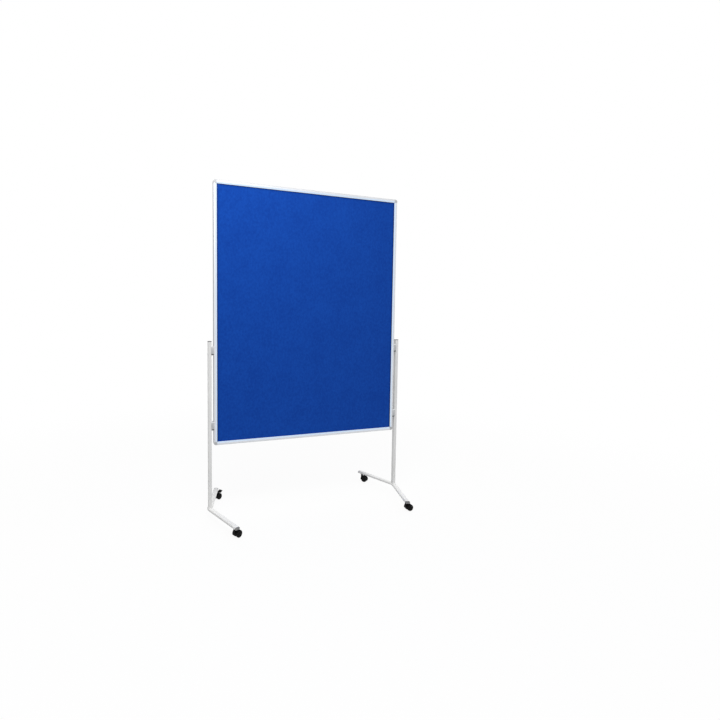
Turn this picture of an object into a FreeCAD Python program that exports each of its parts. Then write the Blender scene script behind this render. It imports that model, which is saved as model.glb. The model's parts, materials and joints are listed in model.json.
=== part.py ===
"""Mobile pinboard: a felt board in an aluminium frame, on two posts with V-shaped feet and castors.

Millimetres. +X runs along the board, -Y is the front and +Z is up.
The origin is on the floor, below the middle of the board.
"""
import FreeCAD, Part
import math
import os
from FreeCAD import Vector

# Board and its frame
BOARD_WIDTH = 1200.0
BOARD_HEIGHT = 1500.0
BOARD_UNDERSIDE = 435.0
CORE_THICKNESS = 9.6
FELT_THICKNESS = 2.1
FELT_SQUEEZE = 0.3
FELT_CLEARANCE = 0.2
FELT_SHOULDER = 1.0
FRAME_FACE = 20.0
FRAME_WALL = 1.5
FRAME_CHAMFER = 2.0
CHAMBER_WIDTH = 6.5
BEVEL_WIDTH = 9.0
BEVEL_DROP = 2.0
LIP_THICKNESS = 1.2
PANEL_EDGE_GAP = 1.5

# Corner caps
CORNER_RADIUS = 12.0
TONGUE_LENGTH = 45.0
TONGUE_CLEARANCE = 0.1

# Posts and their caps
POST_SIZE = 20.0
POST_WALL = 1.5
POST_CORNER_RADIUS = 2.0
POST_RISE = 600.0
POST_CAP_THICKNESS = 4.0
PLUG_DEPTH = 14.0
PLUG_WALL = 1.8
PLUG_CLEARANCE = 0.15

# Brackets between posts and stiles
BRACKET_GAP = 12.0
BRACKET_HEIGHT = 52.0
BRACKET_DEPTH = 18.0
BRACKET_FLANGE = 3.0
BRACKET_WEB = 10.0
LOWER_BRACKET_RISE = 112.0
UPPER_BRACKET_RISE = 545.0

# Feet
LEG_FLAT = 15.0
LEG_HEIGHT = 15.0
LEG_WALL = 1.5
LEG_LENGTH = 290.0
LEG_SPLAY = 19.0
BEND_RADIUS = 45.0
LEG_CAP_THICKNESS = 3.0

# Castors: wheels, axles, hoods and stems
WHEEL_DIAMETER = 40.0
CASTOR_WIDTH = 34.0
CASTOR_NECK = 9.0
CASTOR_TRAIL = 20.0
CASTOR_INSET = 22.0
CASTOR_TURNS = {"front_left": 30.0, "rear_left": 30.0, "front_right": 0.0, "rear_right": -55.0}
WHEEL_GAP = 14.0
WHEEL_SIDE_CLEARANCE = 0.5
HUB_HALF = 6.5
HUB_THICKNESS = 4.0
AXLE_DIAMETER = 6.0
AXLE_PRESS_CLEARANCE = 0.02
AXLE_RUNNING_CLEARANCE = 0.08
AXLE_END_CLEARANCE = 0.4
FENDER_GAP = 1.5
FENDER_THICKNESS = 2.5
FENDER_INSET = 0.5
FENDER_TOP_ANGLE = 84.0
FENDER_LOW_ANGLE = 195.0
STEM_DIAMETER = 8.0
STEM_JOURNAL_LENGTH = 28.0
STEM_END_CLEARANCE = 0.3
STEM_RUNNING_CLEARANCE = 0.06
STEM_FIT = 0.05
SWIVEL_CLEARANCE = 0.3
BOSS_WALL = 2.2

# Brake pedal of the rear left castor
PEDAL_PIVOT_ANGLE = 76.0
PEDAL_PRESSED_ANGLE = 2.0
PEDAL_TRAVEL = 15.0
PEDAL_LENGTH = 22.0
PEDAL_WIDTH = 26.0
PEDAL_THICKNESS = 3.5
PEDAL_START = 4.5
PEDAL_TIP_LIFT = 2.0
PEDAL_TIP_LENGTH = 5.0
PEDAL_ROOT_RADIUS = 3.0
PEDAL_ROOT_WIDTH = 5.6
SHOE_LENGTH = 6.0
SHOE_DEPTH = 5.5
BRAKE_GAP = 0.3
PIN_DIAMETER = 3.0
PIN_CLEARANCE = 0.05
EAR_WALL = 2.2
FORK_CLEARANCE = 0.4

# Sizes that follow from the driving ones
SPLAY = math.radians(LEG_SPLAY)
FELT_HEM = FELT_THICKNESS - FELT_SQUEEZE
CHANNEL_HALF = CORE_THICKNESS / 2 + FELT_HEM + FELT_CLEARANCE
LIP_FRONT = CHANNEL_HALF + LIP_THICKNESS
FRAME_HALF = LIP_FRONT + BEVEL_DROP
CHAMBER_HALF = FRAME_HALF - FRAME_WALL
WEB_INSET = FRAME_WALL + CHAMBER_WIDTH
CHANNEL_INSET = WEB_INSET + FRAME_WALL
PANEL_INSET = CHANNEL_INSET + PANEL_EDGE_GAP
BOARD_TOP = BOARD_UNDERSIDE + BOARD_HEIGHT
POST_X = BOARD_WIDTH / 2 + BRACKET_GAP + POST_SIZE / 2
POST_TOP = BOARD_UNDERSIDE + POST_RISE - POST_CAP_THICKNESS
BRACKET_HEIGHTS = {
    "lower": BOARD_UNDERSIDE + LOWER_BRACKET_RISE,
    "upper": BOARD_UNDERSIDE + UPPER_BRACKET_RISE,
}
LEG_WIDTH = LEG_FLAT + LEG_HEIGHT
WHEEL_RADIUS = WHEEL_DIAMETER / 2
FENDER_INNER = WHEEL_RADIUS + FENDER_GAP
FENDER_OUTER = FENDER_INNER + FENDER_THICKNESS
LEG_UNDERSIDE = WHEEL_RADIUS + FENDER_OUTER + CASTOR_NECK
LEG_AXIS = LEG_UNDERSIDE + LEG_HEIGHT / 2
LEG_TOP = LEG_UNDERSIDE + LEG_HEIGHT
LEG_STRAIGHT = LEG_LENGTH - BEND_RADIUS * math.tan(SPLAY)
BEND_RISE = BEND_RADIUS * (1 / math.cos(SPLAY) - 1)
WHEEL_CENTRE = Vector(CASTOR_TRAIL, 0, WHEEL_RADIUS)
BOSS_TOP = LEG_UNDERSIDE - SWIVEL_CLEARANCE
BOSS_BOTTOM = BOSS_TOP - STEM_JOURNAL_LENGTH
STEM_BOTTOM = BOSS_BOTTOM + STEM_END_CLEARANCE
WHEEL_INNER = WHEEL_GAP / 2
WHEEL_OUTER = CASTOR_WIDTH / 2
WEB_HALF = WHEEL_INNER - WHEEL_SIDE_CLEARANCE
BORE_END = WHEEL_OUTER - HUB_THICKNESS
AXLE_END = BORE_END - AXLE_END_CLEARANCE
PIVOT_RADIUS = FENDER_INNER + FENDER_THICKNESS / 2
PIVOT = WHEEL_CENTRE + Vector(
    PIVOT_RADIUS * math.cos(math.radians(PEDAL_PIVOT_ANGLE)),
    0,
    PIVOT_RADIUS * math.sin(math.radians(PEDAL_PIVOT_ANGLE)),
)

EDGE_TOLERANCE = 1e-4
ORIGIN = Vector(0, 0, 0)
X_AXIS = Vector(1, 0, 0)
Y_AXIS = Vector(0, 1, 0)
Z_AXIS = Vector(0, 0, 1)


def face_of(start, *steps):
    """Face inside a closed outline: a step is the next corner, or a pair of an arc's middle and its end."""
    edges = []
    here = start
    for step in steps + (start,):
        if isinstance(step, tuple):
            edges.append(Part.Arc(here, step[0], step[1]).toShape())
            here = step[1]
        elif here.distanceToPoint(step) > EDGE_TOLERANCE:
            edges.append(Part.makeLine(here, step))
            here = step
    return Part.Face(Part.Wire(edges))


def corner_arc(corner, before, after, radius):
    """Start of a rounded corner, and its arc, between the neighbours of that corner."""
    first = corner + (before - corner).normalize() * radius
    last = corner + (after - corner).normalize() * radius
    centre = first + last - corner
    middle = centre + (corner - centre).normalize() * radius
    return first, (middle, last)


def rounded_face(corners, radius):
    """Face with every corner of a convex right-angled outline rounded alike."""
    steps = []
    for i, corner in enumerate(corners):
        steps.extend(corner_arc(corner, corners[i - 1], corners[(i + 1) % len(corners)], radius))
    return face_of(*steps)


def rectangle(half_x, half_y):
    """Corners of a level rectangle about the origin."""
    return [
        Vector(-half_x, -half_y, 0),
        Vector(half_x, -half_y, 0),
        Vector(half_x, half_y, 0),
        Vector(-half_x, half_y, 0),
    ]


def box(low, high):
    """Box between two opposite corners."""
    size = high - low
    return Part.makeBox(size.x, size.y, size.z, low)


def rod(radius, start, end):
    """Round bar between two points."""
    return Part.makeCylinder(radius, start.distanceToPoint(end), start, end - start)


def moved(shape, place):
    """Copy of a shape, moved by a vector."""
    copy = shape.copy()
    copy.translate(place)
    return copy


def mirrored_x(shape):
    """The same piece for the right side of the stand."""
    return shape.mirror(ORIGIN, X_AXIS)


def frame_length(length):
    """Frame extrusion along +Z: outer edge at x 0, depth along Y, open channel towards +X."""
    bevel_start = FRAME_FACE - BEVEL_WIDTH
    outer_front = Vector(0, -FRAME_HALF, 0)
    outer_rear = Vector(0, FRAME_HALF, 0)
    bevel_front = Vector(bevel_start, -FRAME_HALF, 0)
    bevel_rear = Vector(bevel_start, FRAME_HALF, 0)
    section = face_of(
        bevel_front,
        outer_front + X_AXIS * FRAME_CHAMFER,
        outer_front + Y_AXIS * FRAME_CHAMFER,
        outer_rear - Y_AXIS * FRAME_CHAMFER,
        outer_rear + X_AXIS * FRAME_CHAMFER,
        bevel_rear,
        Vector(FRAME_FACE, LIP_FRONT, 0),
        Vector(FRAME_FACE, CHANNEL_HALF, 0),
        Vector(CHANNEL_INSET, CHANNEL_HALF, 0),
        Vector(CHANNEL_INSET, -CHANNEL_HALF, 0),
        Vector(FRAME_FACE, -CHANNEL_HALF, 0),
        Vector(FRAME_FACE, -LIP_FRONT, 0),
    )
    chamber = box(Vector(FRAME_WALL, -CHAMBER_HALF, 0), Vector(WEB_INSET, CHAMBER_HALF, length))
    return section.extrude(Vector(0, 0, length)).cut(chamber)


def stile():
    """Left upright of the frame, between the corner caps."""
    length = BOARD_HEIGHT - 2 * FRAME_FACE
    return moved(frame_length(length), Vector(-BOARD_WIDTH / 2, 0, BOARD_UNDERSIDE + FRAME_FACE))


def rail(upper):
    """Top or bottom rail of the frame, between the corner caps."""
    length = BOARD_WIDTH - 2 * FRAME_FACE
    inward = -Z_AXIS if upper else Z_AXIS
    along = inward.cross(Y_AXIS)
    edge = BOARD_TOP if upper else BOARD_UNDERSIDE
    shape = frame_length(length)
    turn = FreeCAD.Rotation(inward, Y_AXIS, along, "XYZ")
    shape.Placement = FreeCAD.Placement(Vector(0, 0, edge) - along * (length / 2), turn)
    return shape


def corner_cap():
    """Lower left corner cap: a block with a round outer corner, a pocket for the panel and two tongues."""
    low = Vector(-BOARD_WIDTH / 2, -FRAME_HALF, BOARD_UNDERSIDE)
    right = low + X_AXIS * FRAME_FACE
    top = low + Z_AXIS * FRAME_FACE
    outline = face_of(right, right + Z_AXIS * FRAME_FACE, top, *corner_arc(low, top, right, CORNER_RADIUS))
    block = outline.extrude(Vector(0, 2 * FRAME_HALF, 0))
    reach = FRAME_FACE + TONGUE_LENGTH
    thin = FRAME_WALL + TONGUE_CLEARANCE
    thick = WEB_INSET - TONGUE_CLEARANCE
    half = CHAMBER_HALF - TONGUE_CLEARANCE
    middle = low + Y_AXIS * FRAME_HALF
    level = box(middle + Vector(FRAME_FACE - FRAME_WALL, -half, thin), middle + Vector(reach, half, thick))
    upright = box(middle + Vector(thin, -half, FRAME_FACE - FRAME_WALL), middle + Vector(thick, half, reach))
    pocket = box(
        middle + Vector(CHANNEL_INSET, -CHANNEL_HALF, CHANNEL_INSET),
        middle + Vector(FRAME_FACE, CHANNEL_HALF, FRAME_FACE),
    )
    return block.fuse([level, upright]).removeSplitter().cut(pocket)


def panel_sheet(inset, near, far):
    """Upright sheet inside the frame, this far in from the board's edges, between two depths."""
    half = BOARD_WIDTH / 2 - inset
    return box(Vector(-half, near, BOARD_UNDERSIDE + inset), Vector(half, far, BOARD_TOP - inset))


def front_felt():
    """Front felt: a hem under the frame's lips, and the open pin face, which stands a little proud of it."""
    core_face = -CORE_THICKNESS / 2
    hem = panel_sheet(PANEL_INSET, core_face - FELT_HEM, core_face)
    pin_face = panel_sheet(FRAME_FACE + FELT_SHOULDER, core_face - FELT_THICKNESS, core_face)
    return hem.fuse(pin_face).removeSplitter()


def post():
    """Left post: a square tube that stands on the bend of its foot."""
    length = POST_TOP - LEG_TOP
    half = POST_SIZE / 2
    inner = half - POST_WALL
    tube = rounded_face(rectangle(half, half), POST_CORNER_RADIUS).extrude(Vector(0, 0, length))
    tube = tube.cut(box(Vector(-inner, -inner, 0), Vector(inner, inner, length)))
    return moved(tube, Vector(-POST_X, 0, LEG_TOP))


def post_cap():
    """Cap on the left post's top end: a flange over the tube's wall and an insert inside it."""
    half = POST_SIZE / 2
    inner = half - POST_WALL - PLUG_CLEARANCE
    hollow = inner - PLUG_WALL
    flange = rounded_face(rectangle(half, half), POST_CORNER_RADIUS).extrude(Vector(0, 0, POST_CAP_THICKNESS))
    depth = Vector(0, 0, -PLUG_DEPTH)
    insert = face_of(*rectangle(inner, inner)).extrude(depth)
    insert = insert.cut(face_of(*rectangle(hollow, hollow)).extrude(depth))
    return moved(flange.fuse(insert).removeSplitter(), Vector(-POST_X, 0, POST_TOP))


def bracket(level):
    """Left spacer bracket: an H-section length with one flange on the post and one on the stile."""
    half_gap = BRACKET_GAP / 2
    half_depth = BRACKET_DEPTH / 2
    length = Vector(0, 0, BRACKET_HEIGHT)
    shape = face_of(*rectangle(half_gap, half_depth)).extrude(length)
    recess = face_of(*rectangle(half_gap - BRACKET_FLANGE, half_depth - BRACKET_WEB / 2)).extrude(length)
    shape = shape.cut([moved(recess, Vector(0, side * half_depth, 0)) for side in (-1, 1)])
    return moved(shape, Vector(-BOARD_WIDTH / 2 - half_gap, 0, BRACKET_HEIGHTS[level] - BRACKET_HEIGHT / 2))


def oval_face(width, height):
    """Upright flat-oval face across the X axis."""
    radius = height / 2
    flat = (width - height) / 2
    return face_of(
        Vector(0, -flat, -radius),
        Vector(0, flat, -radius),
        (Vector(0, flat + radius, 0), Vector(0, flat, radius)),
        Vector(0, -flat, radius),
        (Vector(0, -flat - radius, 0), Vector(0, -flat, -radius)),
    )


def along_leg(shape, side, distance):
    """Place a shape made along +X on the left foot, this far along a leg from the bend's corner."""
    placed = shape.copy()
    placed.translate(Vector(distance, 0, 0))
    placed.rotate(ORIGIN, Z_AXIS, side * (90 - LEG_SPLAY))
    placed.translate(Vector(-POST_X - BEND_RISE, 0, LEG_AXIS))
    return placed


def bent_bar():
    """Flat-oval bar along the whole left foot: the bend below the post and a straight leg each way."""
    section = oval_face(LEG_WIDTH, LEG_HEIGHT)
    centre = Vector(BEND_RADIUS - POST_X, 0, LEG_AXIS)
    start = section.copy()
    start.rotate(ORIGIN, Z_AXIS, 90)
    start.translate(Vector(-POST_X, 0, LEG_AXIS))
    start.rotate(centre, Z_AXIS, -LEG_SPLAY)
    bend = start.revolve(centre, Z_AXIS, 2 * LEG_SPLAY)
    straight = section.extrude(Vector(LEG_STRAIGHT, 0, 0))
    legs = [along_leg(straight, side, LEG_LENGTH - LEG_STRAIGHT) for side in (-1, 1)]
    return bend.fuse(legs).removeSplitter()


def stem_place(side):
    """Point on the left foot's underside where a castor's stem enters."""
    reach = LEG_LENGTH - CASTOR_INSET
    x = -POST_X - BEND_RISE + reach * math.sin(SPLAY)
    return Vector(x, side * reach * math.cos(SPLAY), LEG_UNDERSIDE)


def foot():
    """Left foot: a bent flat-oval bar, hollow along its legs, with a hole in each for a castor's stem."""
    hollow = oval_face(LEG_WIDTH - 2 * LEG_WALL, LEG_HEIGHT - 2 * LEG_WALL)
    hollow = hollow.extrude(Vector(LEG_STRAIGHT, 0, 0))
    radius = STEM_DIAMETER / 2 + STEM_FIT
    reach = Z_AXIS * LEG_HEIGHT / 2
    cuts = []
    for side in (-1, 1):
        cuts.append(along_leg(hollow, side, LEG_LENGTH - LEG_STRAIGHT))
        cuts.append(rod(radius, stem_place(side) - reach, stem_place(side) + reach))
    return bent_bar().cut(cuts)


def leg_caps():
    """Plugs in both ends of the left foot: each a flange over the tube's wall and a block inside it."""
    flange = oval_face(LEG_WIDTH, LEG_HEIGHT).extrude(Vector(LEG_CAP_THICKNESS, 0, 0))
    half_height = LEG_HEIGHT / 2 - LEG_WALL - PLUG_CLEARANCE
    half_width = LEG_FLAT / 2
    block = box(Vector(-PLUG_DEPTH, -half_width, -half_height), Vector(0, half_width, half_height))
    cap = flange.fuse(block).removeSplitter()
    return Part.makeCompound([along_leg(cap, side, LEG_LENGTH) for side in (-1, 1)])


def swept(radii, half_width, span):
    """Part turn about the wheel axle, between two angles, of a band between two radii."""
    inner, outer = radii
    band = face_of(
        Vector(inner, -half_width, 0),
        Vector(outer, -half_width, 0),
        Vector(outer, half_width, 0),
        Vector(inner, half_width, 0),
    )
    band.rotate(ORIGIN, -Y_AXIS, span[0])
    return moved(band.revolve(ORIGIN, -Y_AXIS, span[1] - span[0]), WHEEL_CENTRE)


def wheel():
    """Wheel on the +Y side: a disc with a blind bore for the axle."""
    inner = WHEEL_CENTRE + Y_AXIS * WHEEL_INNER
    disc = rod(WHEEL_RADIUS, inner, WHEEL_CENTRE + Y_AXIS * WHEEL_OUTER)
    return disc.cut(rod(AXLE_DIAMETER / 2 + AXLE_RUNNING_CLEARANCE, inner, WHEEL_CENTRE + Y_AXIS * BORE_END))


def axle():
    """Wheel axle: a plain pin, pressed into the hood, that both wheels turn on."""
    return rod(AXLE_DIAMETER / 2, WHEEL_CENTRE - Y_AXIS * AXLE_END, WHEEL_CENTRE + Y_AXIS * AXLE_END)


def hood(braked):
    """Castor hood: a fender over both wheels, a web between them for the axle, and a socket for the stem."""
    web_side = Y_AXIS * WEB_HALF
    span = (FENDER_TOP_ANGLE, FENDER_LOW_ANGLE)
    fender = swept((FENDER_INNER, FENDER_OUTER), WHEEL_OUTER - FENDER_INSET, span)
    web = swept((0, PIVOT_RADIUS), WEB_HALF, span)
    hub_corner = Vector(HUB_HALF, WEB_HALF, HUB_HALF)
    hub = box(WHEEL_CENTRE - hub_corner, WHEEL_CENTRE + hub_corner)
    neck_half = STEM_DIAMETER / 2 + BOSS_WALL
    neck = box(Vector(-neck_half, -WEB_HALF, BOSS_BOTTOM), Vector(neck_half, WEB_HALF, BOSS_TOP))
    shape = fender.fuse([web, hub, neck])
    cuts = [
        rod(AXLE_DIAMETER / 2 + AXLE_PRESS_CLEARANCE, WHEEL_CENTRE - web_side, WHEEL_CENTRE + web_side),
        rod(STEM_DIAMETER / 2 + STEM_RUNNING_CLEARANCE, Vector(0, 0, BOSS_BOTTOM), Vector(0, 0, BOSS_TOP)),
    ]
    if braked:
        shape = shape.fuse(pin_rod(PIN_DIAMETER / 2 + EAR_WALL, WEB_HALF))
        cuts += brake_fork_cuts()
    return shape.removeSplitter().cut(cuts)


def pin_rod(radius, half_length):
    """Round bar on the brake pedal's pivot."""
    return rod(radius, PIVOT - Y_AXIS * half_length, PIVOT + Y_AXIS * half_length)


def brake_fork_cuts():
    """Slot for the pedal's root between the ears, and the pin's hole."""
    slot = pin_rod(PEDAL_ROOT_RADIUS + EAR_WALL, PEDAL_ROOT_WIDTH / 2 + FORK_CLEARANCE)
    return [slot, pin_rod(PIN_DIAMETER / 2 + AXLE_PRESS_CLEARANCE, WEB_HALF)]


def brake_pin():
    """Pivot pin of the brake pedal, pressed into the ears."""
    return pin_rod(PIN_DIAMETER / 2, WEB_HALF)


def brake_pedal():
    """Brake pedal: a narrow root on the pin, a wide plate with a lifted tip and a shoe over the treads."""
    half = PEDAL_THICKNESS / 2
    bend = PEDAL_LENGTH - PEDAL_TIP_LENGTH
    plate = face_of(
        Vector(PEDAL_START, 0, -half),
        Vector(bend, 0, -half),
        Vector(PEDAL_LENGTH, 0, PEDAL_TIP_LIFT - half),
        (Vector(PEDAL_LENGTH + half, 0, PEDAL_TIP_LIFT), Vector(PEDAL_LENGTH, 0, PEDAL_TIP_LIFT + half)),
        Vector(bend, 0, half),
        Vector(PEDAL_START, 0, half),
    ).extrude(Vector(0, PEDAL_WIDTH, 0))
    plate.translate(Vector(0, -PEDAL_WIDTH / 2, 0))
    shoe = box(
        Vector(PEDAL_START, -PEDAL_WIDTH / 2, -half - SHOE_DEPTH),
        Vector(PEDAL_START + SHOE_LENGTH, PEDAL_WIDTH / 2, 0),
    )
    root_half = PEDAL_ROOT_WIDTH / 2
    root = box(Vector(0, -root_half, -half), Vector(PEDAL_START + half, root_half, half))
    eye = rod(PEDAL_ROOT_RADIUS, Vector(0, -root_half, 0), Vector(0, root_half, 0))
    shape = plate.fuse([shoe, root, eye]).removeSplitter()
    shape.rotate(ORIGIN, -Y_AXIS, PEDAL_PRESSED_ANGLE)
    shape.translate(PIVOT)
    reach = Y_AXIS * PEDAL_WIDTH
    tread = rod(WHEEL_RADIUS + BRAKE_GAP, WHEEL_CENTRE - reach, WHEEL_CENTRE + reach)
    shape = shape.cut([tread, pin_rod(PIN_DIAMETER / 2 + PIN_CLEARANCE, PEDAL_WIDTH)])
    shape.rotate(PIVOT, -Y_AXIS, PEDAL_TRAVEL)
    return shape


def stem():
    """Castor stem: a pin from the hood's socket up to the foot's upper wall."""
    return rod(STEM_DIAMETER / 2, Vector(0, 0, STEM_BOTTOM), Vector(0, 0, LEG_TOP - LEG_WALL))


def castor_places():
    """Where each castor's stem stands on the floor plan."""
    places = {}
    for row, side in (("front", -1), ("rear", 1)):
        left = stem_place(side)
        places[row + "_left"] = Vector(left.x, left.y, 0)
        places[row + "_right"] = Vector(-left.x, left.y, 0)
    return places


def board_nodes():
    """Panel, frame and corner caps."""
    core_half = CORE_THICKNESS / 2
    felt = front_felt()
    left_stile = stile()
    lower_cap = corner_cap()
    middle = Vector(0, 0, (BOARD_UNDERSIDE + BOARD_TOP) / 2)
    upper_cap = lower_cap.mirror(middle, Z_AXIS)
    return {
        "core_board": panel_sheet(PANEL_INSET, -core_half, core_half),
        "front_felt": felt,
        "rear_felt": felt.mirror(ORIGIN, Y_AXIS),
        "top_rail": rail(upper=True),
        "bottom_rail": rail(upper=False),
        "left_stile": left_stile,
        "right_stile": mirrored_x(left_stile),
        "corner_cap_lower_left": lower_cap,
        "corner_cap_lower_right": mirrored_x(lower_cap),
        "corner_cap_upper_left": upper_cap,
        "corner_cap_upper_right": mirrored_x(upper_cap),
    }


def stand_nodes():
    """Posts, feet and the brackets that hold the board."""
    left = {
        "post": post(),
        "post_cap": post_cap(),
        "foot": foot(),
        "leg_caps": leg_caps(),
        "bracket_lower": bracket("lower"),
        "bracket_upper": bracket("upper"),
    }
    nodes = {}
    for name, shape in left.items():
        nodes[name + "_left"] = shape
        nodes[name + "_right"] = mirrored_x(shape)
    return nodes


def castor_nodes():
    """Four castors, each turned on its stem, of which the rear left one has a brake."""
    places = castor_places()
    nodes = {"castor_stems": Part.makeCompound([moved(stem(), place) for place in places.values()])}
    for name, place in places.items():
        braked = name == "rear_left"
        pieces = {
            "castor_hood_" + name: hood(braked),
            "castor_axle_" + name: axle(),
            "castor_wheel_near_" + name: wheel().mirror(ORIGIN, Y_AXIS),
            "castor_wheel_far_" + name: wheel(),
        }
        if braked:
            pieces["brake_pedal"] = brake_pedal()
            pieces["brake_pin"] = brake_pin()
        for node, shape in pieces.items():
            shape.rotate(ORIGIN, Z_AXIS, CASTOR_TURNS[name])
            nodes[node] = moved(shape, place)
    return nodes


os.makedirs("parts", exist_ok=True)
for node, solid in {**board_nodes(), **stand_nodes(), **castor_nodes()}.items():
    solid.exportStep("parts/" + node + ".step")
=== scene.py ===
import json
import math

import bmesh
import bpy
from mathutils import Matrix, Vector


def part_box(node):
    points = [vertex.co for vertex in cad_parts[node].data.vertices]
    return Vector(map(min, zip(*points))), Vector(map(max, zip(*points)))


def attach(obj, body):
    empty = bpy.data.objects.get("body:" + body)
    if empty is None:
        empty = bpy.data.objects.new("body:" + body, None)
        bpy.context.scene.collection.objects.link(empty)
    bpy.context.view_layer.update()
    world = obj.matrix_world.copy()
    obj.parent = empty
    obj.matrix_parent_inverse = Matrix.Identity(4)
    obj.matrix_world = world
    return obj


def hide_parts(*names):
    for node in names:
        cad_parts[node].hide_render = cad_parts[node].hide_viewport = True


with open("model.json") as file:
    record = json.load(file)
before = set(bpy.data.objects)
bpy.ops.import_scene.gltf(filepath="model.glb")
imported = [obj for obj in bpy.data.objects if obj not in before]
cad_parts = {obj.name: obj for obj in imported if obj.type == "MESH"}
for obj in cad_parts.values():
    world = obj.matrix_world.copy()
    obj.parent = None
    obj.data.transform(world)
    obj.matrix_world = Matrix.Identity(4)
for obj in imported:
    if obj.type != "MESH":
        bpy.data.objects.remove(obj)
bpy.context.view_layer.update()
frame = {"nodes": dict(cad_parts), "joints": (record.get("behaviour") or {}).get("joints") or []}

# Felt on both faces of the panel: needled cloth, 2.1 mm thick and dyed royal blue.
# Each sheet is glued flat to the core board, and the frame's lips press its hem down all round,
# so that the open pin face stands a little proud and rolls in towards the lips.
FELT_SIZE = (1.178, 1.478)
FELT_PROUD = 0.0003
HEM_UNDER_LIP = 0.009
ROLL_WIDTH = 0.004
ROLL_RADIUS = 0.002
OPENING_HALF = 0.580
OPENING_TOP = 1.915
DARK_SHADE_WIDTH = 0.006
SHADE_WIDTH = 0.018
FELT_DEEP, FELT_BRIGHT, FELT_SHADOW = (17, 66, 162), (23, 79, 180), (6, 24, 62)
SHARP_ANGLE = math.radians(40)


class Socket:
    """An output of a material's nodes, on which sums are written as Python expressions."""

    def __init__(self, tree, link=None):
        self.tree = tree
        self.link = link

    def feed(self, node, inputs):
        """Set a node's inputs from plain values or from other sockets."""
        for key, value in inputs.items():
            if isinstance(value, Socket):
                self.tree.links.new(value.link, node.inputs[key])
            else:
                node.inputs[key].default_value = value

    def make(self, kind, settings, inputs, output=0):
        """Add any node: its settings first, then its inputs; gives one of its outputs."""
        node = self.tree.nodes.new("ShaderNode" + kind)
        for key, value in settings.items():
            setattr(node, key, value)
        self.feed(node, inputs)
        return Socket(self.tree, node.outputs[output])

    def work_out(self, operation, *values):
        return self.make("Math", {"operation": operation}, dict(enumerate(values)))

    def __add__(self, other):
        return self.work_out("ADD", self, other)

    __radd__ = __add__

    def __sub__(self, other):
        return self.work_out("SUBTRACT", self, other)

    def __rsub__(self, other):
        return self.work_out("SUBTRACT", other, self)

    def __mul__(self, other):
        return self.work_out("MULTIPLY", self, other)

    __rmul__ = __mul__

    def __abs__(self):
        return self.work_out("ABSOLUTE", self)

    def least(self, other):
        return self.work_out("MINIMUM", self, other)

    def most(self, other):
        return self.work_out("MAXIMUM", self, other)

    def step(self, low, high):
        """0 below low, 1 above high and smooth between them."""
        return self.make("MapRange", {"interpolation_type": "SMOOTHSTEP"}, {0: self, 1: low, 2: high})

    def tint(self, first, second):
        """Colour that runs from the first, at 0, to the second, at 1."""
        return self.make("Mix", {"data_type": "RGBA"}, {0: self, 6: first, 7: second}, 2)

    def grain(self, stretch, detail=2.0):
        """Noise over a place, with this many grains to the metre along X, Y and Z."""
        spread = self.make("Mapping", {}, {0: self, 3: stretch})
        return self.make("TexNoise", {}, {0: spread, 2: 1.0, 3: detail})

    def part(self, axis):
        return self.make("SeparateXYZ", {}, {0: self}, axis)

    def relief(self, depth, strength=1.0):
        """Surface normal of a height that swings by this many metres."""
        return self.make("Bump", {}, {"Height": self, "Distance": depth, "Strength": strength})


def surface(name, **constants):
    """New material, with the shader's plain values set: gives it, its shader and its Object coordinates."""
    material = bpy.data.materials.new(name)
    material.use_nodes = True
    shader = material.node_tree.nodes["Principled BSDF"]
    for key, value in constants.items():
        shader.inputs[key.replace("_", " ")].default_value = value
    place = Socket(material.node_tree).make("TexCoord", {}, {}, "Object")
    return material, shader, place


def rgb(red, green, blue):
    """Linear colour from the usual 0 to 255 values."""
    levels = [value / 255 for value in (red, green, blue)]
    return (*[v / 12.92 if v < 0.0405 else ((v + 0.055) / 1.055) ** 2.4 for v in levels], 1)


def piece(name, bm, material, body):
    """Finish a bmesh as a piece at the origin, which rides on a body."""
    mesh = bpy.data.meshes.new(name)
    bm.to_mesh(mesh)
    bm.free()
    mesh.materials.append(material)
    mesh.shade_smooth()
    mesh.set_sharp_from_angle(angle=SHARP_ANGLE)
    made = bpy.data.objects.new(name, mesh)
    bpy.context.scene.collection.objects.link(made)
    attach(made, body)
    return made


felt_cloth, shader, place = surface(
    "royal_blue_felt", Roughness=0.95, Specular_IOR_Level=0.06, Sheen_Weight=0.02
)
clouds = place.grain((7, 7, 7), 3)
tufts = place.grain((95, 95, 70), 4)
fibres = 0.5 * place.grain((2400, 900, 240), 2) + 0.5 * place.grain((240, 900, 2400), 2)
blue = (0.4 * tufts + 0.2 * clouds + 0.4 * fibres).step(0.34, 0.66).tint(rgb(*FELT_DEEP), rgb(*FELT_BRIGHT))
# Painted shade: the felt is painted darker, towards FELT_SHADOW, within a few millimetres of the frame's
# lips, where the lips shade it.
inside = (OPENING_HALF - abs(place.part("X"))).least(OPENING_TOP - place.part("Z"))
painted_lip_shade = 0.7 * inside.step(0.0, DARK_SHADE_WIDTH) + 0.3 * inside.step(0.0, SHADE_WIDTH)
blue = painted_lip_shade.tint(rgb(*FELT_SHADOW), blue)
place.feed(shader, {"Base Color": blue, "Normal": (0.6 * fibres + 0.4 * tufts).relief(0.0006, 0.7)})

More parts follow.
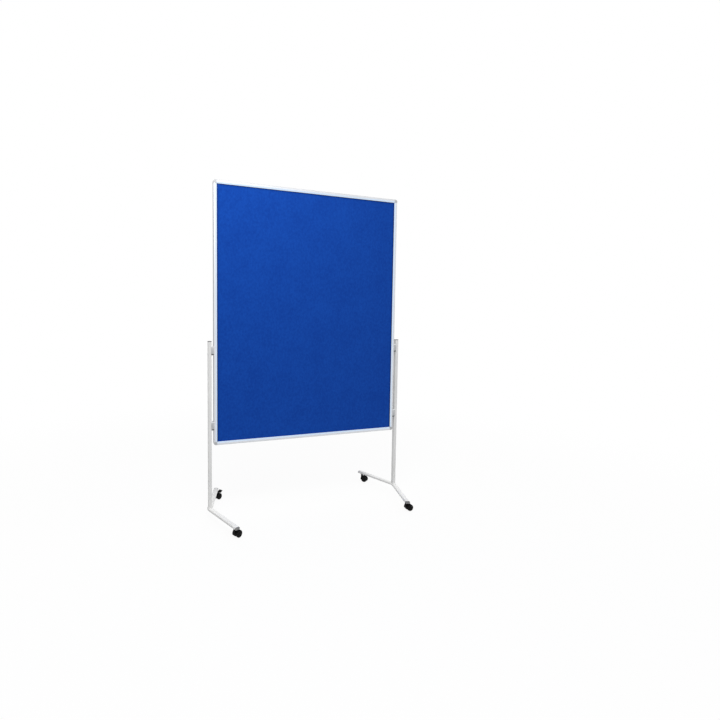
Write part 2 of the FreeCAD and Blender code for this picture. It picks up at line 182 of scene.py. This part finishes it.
for side, name in ((-1, "front_felt"), (1, "rear_felt")):
    low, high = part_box(name)
    bm = bmesh.new()
    bmesh.ops.create_cube(bm, size=1)
    glued, hem = (high.y, low.y + FELT_PROUD) if side < 0 else (low.y, high.y - FELT_PROUD)
    bmesh.ops.scale(bm, vec=(FELT_SIZE[0], abs(glued - hem), FELT_SIZE[1]), verts=bm.verts)
    bmesh.ops.translate(bm, vec=(0, (glued + hem) / 2, (low.z + high.z) / 2), verts=bm.verts)
    pin_face = [f for f in bm.faces if f.normal.y * side > 0.5]
    bmesh.ops.inset_region(bm, faces=pin_face, thickness=HEM_UNDER_LIP, use_even_offset=True)
    bmesh.ops.inset_region(bm, faces=pin_face, thickness=ROLL_WIDTH, depth=FELT_PROUD, use_even_offset=True)
    rim = list(pin_face[0].edges)
    bmesh.ops.bevel(bm, geom=rim, offset=ROLL_RADIUS, affect="EDGES", segments=3, profile=0.5, material=-1)
    felt = piece(name + "_sheet", bm, felt_cloth, "stand")
    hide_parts(name)

# Core of the panel: a soft fibreboard that takes the pins, cut to the felt's size.
# It only shows as a thin brown edge deep inside the frame's channel.


def dress(material, *names):
    """Give a finish to nodes of the frame."""
    for name in names:
        frame["nodes"][name].material_slots[0].material = material


fibreboard, shader, place = surface("soft_fibreboard", Roughness=0.9)
pulp = place.grain((260, 260, 260), 4)
place.feed(
    shader,
    {
        "Base Color": pulp.tint(rgb(150, 118, 82), rgb(186, 152, 112)),
        "Normal": pulp.relief(0.0008, 0.6),
    },
)
dress(fibreboard, "core_board")

# Frame of the board: four lengths of one hollow aluminium extrusion, satin anodised.
# The die leaves faint lines along each length, so the rails and the stiles have their own grain.
# The outer side is painted darker than the rim as painted shade, and the bevel next to the felt is painted a
# bright blue-white as a painted reflection of the felt.
BOARD_HALF, BOARD_HALF_HEIGHT, BOARD_MIDDLE = 0.600, 0.750, 1.185
SIDE_EDGE, RIM_EDGE = 0.0004, 0.0024
BEVEL_EDGE, BEVEL_BLEND = 0.011, 0.0008
SIDE_PAINTED_SHADE, BEVEL_PAINTED_REFLECTION = (172, 175, 179), (216, 232, 252)


def anodised(name, stretch, axis, middle, half):
    """Finish of a length of the frame, whose outer side is half the board's size from its middle, with
    painted shade on that side and a painted reflection on the bevel.
    """
    material, shader, place = surface(name, Metallic=0.65, Specular_IOR_Level=0.5)
    lines = place.grain(stretch, 3)
    cloud = place.grain((9, 9, 9), 2)
    inward = half - abs(place.part(axis) - middle)
    satin_and_side_shade = (0.7 * lines + 0.3 * cloud).step(0.3, 0.7).tint(rgb(218, 221, 226), rgb(230, 232, 236))
    # Painted shade: the outer side is painted darker than the rim.
    satin_and_side_shade = inward.step(SIDE_EDGE, RIM_EDGE).tint(rgb(*SIDE_PAINTED_SHADE), satin_and_side_shade)
    # Painted reflection: the bevel next to the felt is painted a bright blue-white, as if it mirrored the
    # felt.
    bevel = inward.step(BEVEL_EDGE - BEVEL_BLEND, BEVEL_EDGE + BEVEL_BLEND)
    place.feed(
        shader,
        {
            "Base Color": bevel.tint(satin_and_side_shade, rgb(*BEVEL_PAINTED_REFLECTION)),
            "Roughness": 0.42 + 0.16 * lines - 0.14 * bevel,
            "Normal": lines.relief(0.00006, 0.5),
        },
    )
    return material


rail_metal = anodised("anodised_rail", (4, 1400, 1400), "Z", BOARD_MIDDLE, BOARD_HALF_HEIGHT)
stile_metal = anodised("anodised_stile", (1400, 1400, 4), "X", 0.0, BOARD_HALF)
dress(rail_metal, "top_rail", "bottom_rail")
dress(stile_metal, "left_stile", "right_stile")

# Corner caps: moulded in grey plastic, with a fine spark-eroded grain.
# Two tongues push each one into the hollow ends of a rail and a stile.


def moulded(name, dark, light, roughness, grain_depth, gloss=0.4):
    """Finish of a plastic moulding: a fine grain, and slow changes of shade and polish from handling."""
    material, shader, place = surface(name, Specular_IOR_Level=gloss)
    grain = place.grain((1700, 1700, 1700), 2)
    handling = place.grain((45, 45, 45), 3)
    place.feed(
        shader,
        {
            "Base Color": (0.4 * grain + 0.6 * handling).step(0.3, 0.7).tint(dark, light),
            "Roughness": roughness + 0.18 * (handling - 0.5),
            "Normal": grain.relief(grain_depth, 0.6),
        },
    )
    return material


CORNERS = [level + "_" + side for level in ("lower", "upper") for side in ("left", "right")]
corner_grey = moulded("grey_corner_plastic", rgb(194, 196, 198), rgb(208, 210, 212), 0.5, 0.0001)
dress(corner_grey, *["corner_cap_" + corner for corner in CORNERS])

# Posts and feet: steel tube, square for the posts and flat-oval for the bent feet, welded together.
# They are powder coated in a pale grey, which leaves a fine orange-peel skin and softens every edge.
powder_coat, shader, place = surface("pale_powder_coat", Specular_IOR_Level=0.5)
peel = place.grain((620, 620, 620), 2)
haze = place.grain((14, 14, 5), 3)
place.feed(
    shader,
    {
        "Base Color": (0.25 * peel + 0.75 * haze).step(0.3, 0.7).tint(rgb(236, 236, 235), rgb(245, 245, 244)),
        "Roughness": 0.4 + 0.14 * haze,
        "Normal": peel.relief(0.00018, 0.5),
    },
)
dress(powder_coat, "post_left", "post_right", "foot_left", "foot_right")

# Welds at the foot of each post: a steel fillet all round the tube, on top of the foot's bend.
# It tapers upwards, is ground a little and is coated with the rest.
WELD_REACH, WELD_RISE, WELD_DEPTH = 0.0022, 0.0026, 0.0022
WELD_TAPER, WELD_ROUND = 0.84, 0.0012
EDGE_ANGLE = math.radians(30)


def block(bm, low, high):
    """Add a box between two corners; gives its vertices."""
    low, high = Vector(low), Vector(high)
    made = bmesh.ops.create_cube(bm, size=1)["verts"]
    bmesh.ops.scale(bm, vec=high - low, verts=made)
    bmesh.ops.translate(bm, vec=(low + high) / 2, verts=made)
    return made


def soften(bm, width, segments=2):
    """Round every edge at which two faces meet at more than a slight angle."""
    sharp = [e for e in bm.edges if e.is_manifold and e.calc_face_angle() > EDGE_ANGLE]
    bmesh.ops.bevel(bm, geom=sharp, offset=width, affect="EDGES", segments=segments, profile=0.5, material=-1)


for side in ("left", "right"):
    low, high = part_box("post_" + side)
    bm = bmesh.new()
    made = block(
        bm,
        (low.x - WELD_REACH, low.y - WELD_REACH, low.z - WELD_DEPTH),
        (high.x + WELD_REACH, high.y + WELD_REACH, low.z + WELD_RISE),
    )
    crown = [v for v in made if v.co.z > low.z]
    middle = (low + high) / 2
    bmesh.ops.translate(bm, vec=(-middle.x, -middle.y, 0), verts=made)
    bmesh.ops.scale(bm, vec=(WELD_TAPER, WELD_TAPER, 1), verts=crown)
    bmesh.ops.translate(bm, vec=(middle.x, middle.y, 0), verts=made)
    soften(bm, WELD_ROUND, 3)
    piece("post_weld_" + side, bm, powder_coat, "stand")

# Brackets between the posts and the stiles: sawn lengths of a small aluminium H-section.
# Two bolts through the post hold each one, and the saw leaves fine lines on it.
bracket_metal, shader, place = surface("sawn_aluminium", Metallic=1.0)
saw = place.grain((900, 900, 160), 3)
place.feed(
    shader,
    {
        "Base Color": saw.tint(rgb(186, 188, 191), rgb(210, 212, 215)),
        "Roughness": 0.34 + 0.2 * saw,
        "Normal": saw.relief(0.0001, 0.5),
    },
)
dress(bracket_metal, *["bracket_" + corner for corner in CORNERS])

# Bracket covers: grey plastic strips over each bracket, front and rear, between post and stile.
# A bright aluminium clip holds the upper end, and a dark release tab sits near the lower one.
COVER_HALF, COVER_FACE = 0.0085, 0.0116
CLIP_HALF, CLIP_FACE, CLIP_HEIGHT = 0.0092, 0.0122, 0.0075
TAB_HALF, TAB_FACE, TAB_START, TAB_HEIGHT = 0.0068, 0.0112, 0.0022, 0.0075
POST_FACE, TONGUE_HALF, PART_LINE = 0.0101, 0.0056, 0.0005
COVER_ROUND = 0.0004
cover_grey = moulded("grey_cover_plastic", rgb(196, 198, 200), rgb(208, 210, 212), 0.5, 0.0001)
tab_dark = moulded("dark_tab_plastic", rgb(90, 90, 92), rgb(106, 106, 108), 0.55, 0.0001, 0.25)
clip_metal, shader, place = surface("bright_clip_aluminium", Metallic=0.6)
rolled = place.grain((60, 60, 1500), 3)
place.feed(
    shader,
    {
        "Base Color": rolled.tint(rgb(228, 230, 232), rgb(242, 243, 244)),
        "Roughness": 0.3 + 0.14 * rolled,
    },
)


def over_bracket(corner, side, half, face, start, end):
    """Block in front of a bracket, or behind it, between two heights, with a tongue back to the bracket."""
    low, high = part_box("bracket_" + corner)
    x = (low.x + high.x) / 2
    bm = bmesh.new()
    block(bm, (x - half, side * POST_FACE, start), (x + half, side * face, end))
    block(
        bm,
        (x - TONGUE_HALF, side * high.y, start + PART_LINE),
        (x + TONGUE_HALF, side * (POST_FACE + PART_LINE), end - PART_LINE),
    )
    bmesh.ops.recalc_face_normals(bm, faces=bm.faces)
    soften(bm, COVER_ROUND)
    return bm


for corner in CORNERS:
    bottom, top = (v.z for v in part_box("bracket_" + corner))
    tab_top, clip_bottom = bottom + TAB_HEIGHT, top - CLIP_HEIGHT
    for side, face in ((-1, "front"), (1, "rear")):
        where = face + "_" + corner
        bm = over_bracket(corner, side, COVER_HALF, COVER_FACE, tab_top + PART_LINE, clip_bottom - PART_LINE)
        piece("bracket_cover_" + where, bm, cover_grey, "stand")
        bm = over_bracket(corner, side, CLIP_HALF, CLIP_FACE, clip_bottom, top)
        piece("bracket_clip_" + where, bm, clip_metal, "stand")
        bm = over_bracket(corner, side, TAB_HALF, TAB_FACE, bottom + TAB_START, tab_top)
        piece("bracket_tab_" + where, bm, tab_dark, "stand")

# Hole plugs: pale plastic buttons, snapped into the posts' outer faces.
# They cover the holes through which the brackets' bolts are driven.
PLUG_RADIUS, PLUG_RISE, PLUG_SINK = 0.0055, 0.0011, 0.0002
PLUG_TAPER, PLUG_ROUND = 0.82, 0.0003
BOLT_INSET = 0.010
ROUND_STEPS = 32
plug_pale = moulded("pale_plug_plastic", rgb(222, 222, 221), rgb(232, 232, 231), 0.45, 0.00006)
for corner in CORNERS:
    low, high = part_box("bracket_" + corner)
    post_low, post_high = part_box("post_" + corner.split("_")[1])
    outward = 1 if low.x > 0 else -1
    wall = post_high.x if outward > 0 else post_low.x
    turn = Matrix.Rotation(outward * math.pi / 2, 4, "Y")
    bm = bmesh.new()
    for z in (low.z + BOLT_INSET, high.z - BOLT_INSET):
        bmesh.ops.create_cone(
            bm,
            cap_ends=True,
            segments=ROUND_STEPS,
            radius1=PLUG_RADIUS,
            radius2=PLUG_RADIUS * PLUG_TAPER,
            depth=PLUG_RISE,
            matrix=Matrix.Translation((wall + outward * (PLUG_RISE / 2 - PLUG_SINK), 0, z)) @ turn,
        )
    soften(bm, PLUG_ROUND)
    piece("hole_plugs_" + corner, bm, plug_pale, "stand")

# Caps in the open ends of the posts and feet: grey plastic plugs, pushed in.
# The feet's caps are a shade lighter than the posts'.
post_cap_grey = moulded("dark_plug_plastic", rgb(104, 104, 106), rgb(122, 122, 124), 0.55, 0.0001, 0.3)
leg_cap_grey = moulded("grey_leg_cap_plastic", rgb(136, 136, 136), rgb(152, 152, 152), 0.55, 0.0001, 0.3)
dress(post_cap_grey, "post_cap_left", "post_cap_right")
dress(leg_cap_grey, "leg_caps_left", "leg_caps_right")

# Castor stems, axles and the brake's pin: turned steel, zinc plated.
# The stems are pressed into the feet, the axles into the hoods and the pin into its hood's ears.
zinc, shader, place = surface("zinc_plated_steel", Metallic=1.0)
plating = place.grain((300, 300, 300), 3)
place.feed(
    shader,
    {
        "Base Color": plating.tint(rgb(168, 170, 172), rgb(202, 203, 204)),
        "Roughness": 0.25 + 0.2 * plating,
    },
)
PLACES = [row + "_" + side for row in ("front", "rear") for side in ("left", "right")]
dress(zinc, "castor_stems", "brake_pin", *["castor_axle_" + where for where in PLACES])

# Castor hoods: black plastic mouldings with a fine grain, each a fender over both wheels,
# a web between them that carries the axle, and a neck that turns on the stem.
# The braked one also has two ears for the pedal's pin. Sizes are in millimetres from the stem.
MM = Matrix.Scale(0.001, 4)
TRAIL, WHEEL_RADIUS = 20, 20
AXLE = Vector((TRAIL, 0, WHEEL_RADIUS))
NECK_LOW, NECK_HIGH, NECK_ROUND = (-6.2, -6.5, 24.7), (6.2, 6.5, 52.7), 3.4
FENDER_START, FENDER_SWEEP, FENDER_STEPS = math.radians(84), math.radians(111), 32
FENDER_INNER, FENDER_OUTER, FENDER_HALF = 21.6, 24, 16.5
WEB_INNER, WEB_OUTER, WEB_HALF = 3.1, 22.4, 6.4
DISC_RADIUS, DISC_HALF = 16.8, 6.3
PIVOT_REACH, PIVOT_ANGLE = 22.75, math.radians(76)
PEDAL_PIVOT = AXLE + PIVOT_REACH * Vector((math.cos(PIVOT_ANGLE), 0, math.sin(PIVOT_ANGLE)))
EAR_RADIUS, EAR_INNER, EAR_OUTER = 3.7, 3.2, 6.5
HOOD_ROUND = 0.8
BRAKED = "rear_left"
hood_black = moulded("black_hood_plastic", rgb(9, 9, 10), rgb(16, 16, 17), 0.5, 0.00008, 0.08)
joints = {joint["name"]: joint for joint in frame["joints"]}


def castor_place(where):
    """Where a castor stands and how it is turned, for a piece made round its stem and trailing along +X."""
    x, y, _ = joints["swivel_" + where]["pos_m"]
    across = joints["spin_far_" + where]["axis"]
    return Matrix.Translation((x, y, 0)) @ Matrix.Rotation(math.atan2(-across[0], across[1]), 4, "Z") @ MM


def swung(bm, inner, outer, half_width):
    """Band between two distances from the axle, swung over the wheels from the top to the stem's side."""
    spoke = Vector((math.cos(FENDER_START), 0, math.sin(FENDER_START)))
    corners = ((inner, -half_width), (outer, -half_width), (outer, half_width), (inner, half_width))
    band = bm.faces.new([bm.verts.new(AXLE + spoke * r + Vector((0, y, 0))) for r, y in corners])
    bmesh.ops.spin(bm, geom=[band], cent=AXLE, axis=(0, -1, 0), angle=FENDER_SWEEP, steps=FENDER_STEPS)


def cross_bar(bm, centre, radius, low, high):
    """Round bar along Y between two depths."""
    turn = Matrix.Rotation(math.pi / 2, 4, "X")
    bmesh.ops.create_cone(
        bm,
        cap_ends=True,
        segments=ROUND_STEPS,
        radius1=radius,
        radius2=radius,
        depth=high - low,
        matrix=Matrix.Translation((centre.x, (low + high) / 2, centre.z)) @ turn,
    )


for where in PLACES:
    bm = bmesh.new()
    block(bm, NECK_LOW, NECK_HIGH)
    upright = [e for e in bm.edges if abs(e.verts[0].co.z - e.verts[1].co.z) > NECK_ROUND]
    bmesh.ops.bevel(bm, geom=upright, offset=NECK_ROUND, affect="EDGES", segments=4, profile=0.5, material=-1)
    swung(bm, FENDER_INNER, FENDER_OUTER, FENDER_HALF)
    swung(bm, WEB_INNER, WEB_OUTER, WEB_HALF)
    cross_bar(bm, AXLE, DISC_RADIUS, -DISC_HALF, DISC_HALF)
    if where == BRAKED:
        cross_bar(bm, PEDAL_PIVOT, EAR_RADIUS, -EAR_OUTER, -EAR_INNER)
        cross_bar(bm, PEDAL_PIVOT, EAR_RADIUS, EAR_INNER, EAR_OUTER)
    bmesh.ops.recalc_face_normals(bm, faces=bm.faces)
    soften(bm, HOOD_ROUND, 3)
    bmesh.ops.transform(bm, matrix=castor_place(where), verts=bm.verts)
    hood = piece("castor_hood_%s_moulding" % where, bm, hood_black, "castor_" + where)
    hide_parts("castor_hood_" + where)

# Brake pedal: a black plastic lever on a pin in the rear left hood's ears.
# Three ribs give the shoe sole a grip, and pressed down, its own shoe bears on both treads.
PEDAL_REST = math.radians(17)
PEDAL_PLATE = (
    (4.5, -1.75), (17, -1.75), (22, 0.25), (23.3, 1.1), (23.4, 2.4), (22, 3.75), (17, 1.75), (4.5, 1.75),
)
PEDAL_SHOE = ((4.5, -1), (4.5, -4.2), (6, -5.1), (7.5, -6.3), (8.4, -7.1), (10.5, -7.1), (10.5, -1))
PEDAL_HALF, PEDAL_ROUND = 13, 0.4
ROOT_LOW, ROOT_HIGH, ROOT_RADIUS, ROOT_HALF = (0, -2.8, -1.75), (6, 2.8, 1.75), 3, 2.8
RIB_STARTS, RIB_WIDTH, RIB_HALF, RIB_LOW, RIB_TOP = (7.5, 10.5, 13.5), 1.4, 11, 1.4, 2.5


def extruded(bm, outline, half_width):
    """Solid from an outline in X and Z, as wide each way along Y."""
    side = bm.faces.new([bm.verts.new((x, -half_width, z)) for x, z in outline])
    made = bmesh.ops.extrude_face_region(bm, geom=[side])["geom"]
    far = [v for v in made if isinstance(v, bmesh.types.BMVert)]
    bmesh.ops.translate(bm, vec=(0, 2 * half_width, 0), verts=far)


bm = bmesh.new()
extruded(bm, PEDAL_PLATE, PEDAL_HALF)
extruded(bm, PEDAL_SHOE, PEDAL_HALF)
block(bm, ROOT_LOW, ROOT_HIGH)
cross_bar(bm, Vector(), ROOT_RADIUS, -ROOT_HALF, ROOT_HALF)
for x in RIB_STARTS:
    block(bm, (x, -RIB_HALF, RIB_LOW), (x + RIB_WIDTH, RIB_HALF, RIB_TOP))
bmesh.ops.recalc_face_normals(bm, faces=bm.faces)
soften(bm, PEDAL_ROUND)
lift = castor_place(BRAKED) @ Matrix.Translation(PEDAL_PIVOT) @ Matrix.Rotation(-PEDAL_REST, 4, "Y")
bmesh.ops.transform(bm, matrix=lift, verts=bm.verts)
pedal = piece("brake_pedal_moulding", bm, hood_black, "brake")
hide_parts("brake_pedal")

# Wheels: black plastic discs, dished on the outside, with a hub cap and a rounded tread.
# Each one runs on its castor's axle, and the tread is scuffed and a little dusty.
# The outline pairs a distance from the axle's line with one from the castor's middle.
WHEEL_OUTLINE = (
    (0, 13), (3.1, 13), (3.1, 7), (18.8, 7), (20, 8.2), (20, 14.4), (19.5, 16), (18, 17), (16.6, 16.9),
    (15.4, 15.6), (9, 15), (8.2, 15.9), (7, 16.6), (0, 16.9),
)
WHEEL_STEPS = 56
MERGE_DISTANCE = 1e-4
wheel_black, shader, place = surface("black_wheel_plastic", Specular_IOR_Level=0.1)
scuffs = place.grain((160, 160, 160), 4)
dust = place.grain((38, 38, 38), 3)
place.feed(
    shader,
    {
        "Base Color": (scuffs * dust).step(0.2, 0.5).tint(rgb(10, 10, 11), rgb(24, 24, 23)),
        "Roughness": 0.42 + 0.25 * dust,
        "Normal": scuffs.relief(0.0001, 0.4),
    },
)
for where in PLACES:
    for lane, side in (("near", -1), ("far", 1)):
        name = "castor_wheel_" + lane + "_" + where
        bm = bmesh.new()
        verts = [bm.verts.new(AXLE + Vector((r, side * y, 0))) for r, y in WHEEL_OUTLINE]
        outline = [bm.edges.new(pair) for pair in zip(verts, verts[1:])]
        bmesh.ops.spin(
            bm,
            geom=verts + outline,
            cent=AXLE,
            axis=(0, 1, 0),
            angle=math.tau,
            steps=WHEEL_STEPS,
            use_merge=True,
        )
        bmesh.ops.remove_doubles(bm, verts=bm.verts, dist=MERGE_DISTANCE)
        bmesh.ops.recalc_face_normals(bm, faces=bm.faces)
        bmesh.ops.transform(bm, matrix=castor_place(where), verts=bm.verts)
        wheel = piece(name + "_moulding", bm, wheel_black, "wheel_" + lane + "_" + where)
        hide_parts(name)

# Studio: a pale floor that runs out to white, a soft key light from the upper left,
# and a sky that is brightest overhead and stronger on the right than on the left.
FLOOR_HALF = 14
FLOOR_GREY, FLOOR_SEEN = 0.62, 0.9
NEAR_WHITE, WHITE_FROM, WHITE_FULL = 0.93, 1.2, 4.0
SKY, SKY_TILT = 1.18, 0.65
KEY_PLACE, KEY_AIM = Vector((-0.85, -1.5, 2.9)), Vector((-0.1, 0, 1.45))
KEY_SIZE, KEY_POWER = 1.0, 30.5
PURE_WHITE = (1, 1, 1, 1)
floor_paint, shader, place = surface("floor_paint", Roughness=0.9, Specular_IOR_Level=0.1)
camera_ray = place.make("LightPath", {}, {}, "Is Camera Ray")
mirror_ray = place.make("LightPath", {}, {}, "Is Glossy Ray")
paint = camera_ray.tint((FLOOR_GREY, FLOOR_GREY, FLOOR_GREY, 1), (FLOOR_SEEN, FLOOR_SEEN, FLOOR_SEEN, 1))
place.feed(shader, {"Base Color": paint})
glow = place.make("Emission", {}, {"Color": PURE_WHITE, "Strength": 1.0})
reach = place.make("VectorMath", {"operation": "LENGTH"}, {0: place}, "Value")
white = NEAR_WHITE + (1 - NEAR_WHITE) * reach.step(WHITE_FROM, WHITE_FULL)
painted = Socket(floor_paint.node_tree, shader.outputs[0])
mixed = place.make("MixShader", {}, {0: camera_ray.most(mirror_ray) * white, 1: painted, 2: glow})
place.feed(floor_paint.node_tree.nodes["Material Output"], {"Surface": mixed})
bm = bmesh.new()
bmesh.ops.create_grid(bm, x_segments=1, y_segments=1, size=FLOOR_HALF)
mesh = bpy.data.meshes.new("studio_floor")
bm.to_mesh(mesh)
bm.free()
mesh.materials.append(floor_paint)
floor = bpy.data.objects.new("studio_floor", mesh)
bpy.context.scene.collection.objects.link(floor)

world = bpy.data.worlds.new("studio_air")
bpy.context.scene.world = world
world.use_nodes = True
sky = Socket(world.node_tree)
seen = sky.make("LightPath", {}, {}, "Is Camera Ray")
for kind in ("Is Glossy Ray", "Is Transmission Ray"):
    seen = seen.most(sky.make("LightPath", {}, {}, kind))
toward = sky.make("TexCoord", {}, {}, "Generated")
dome = SKY * toward.part("Z").most(0.0) * (1 + SKY_TILT * toward.part("X"))
sky.feed(world.node_tree.nodes["Background"], {"Color": PURE_WHITE, "Strength": seen + (1 - seen) * dome})

key = bpy.data.lights.new("key_softbox", "AREA")
key.shape = "DISK"
key.size = KEY_SIZE
key.energy = KEY_POWER
key_lamp = bpy.data.objects.new("key_softbox", key)
key_lamp.location = KEY_PLACE
key_lamp.rotation_euler = (KEY_AIM - KEY_PLACE).to_track_quat("-Z", "Y").to_euler()
bpy.context.scene.collection.objects.link(key_lamp)

# Camera: a wide view from the left front, at eye level with the middle of the board.
# Its frame is shifted sideways, because the board stands left of the middle of a wider scene.
CAMERA_PLACE = (-1.0641, -2.3505, 1.1370)
YAW, PITCH, ROLL = (math.radians(a) for a in (18.284, -3.234, 0.250))
LENS, SHIFT_X, SHIFT_Y = 20.911, 0.1313, -0.0181
ahead = Vector((math.sin(YAW) * math.cos(PITCH), math.cos(YAW) * math.cos(PITCH), math.sin(PITCH)))
level = Vector((math.cos(YAW), -math.sin(YAW), 0))
rise = level.cross(ahead)
right = math.cos(ROLL) * level + math.sin(ROLL) * rise
up = math.cos(ROLL) * rise - math.sin(ROLL) * level
view = bpy.data.cameras.new("photo_view")
view.lens = LENS
view.shift_x = SHIFT_X
view.shift_y = SHIFT_Y
camera = bpy.data.objects.new("photo_view", view)
camera.matrix_world = Matrix.Translation(CAMERA_PLACE) @ Matrix((right, up, -ahead)).transposed().to_4x4()
bpy.context.scene.collection.objects.link(camera)
bpy.context.scene.camera = camera
bpy.context.scene.view_settings.view_transform = "Standard"
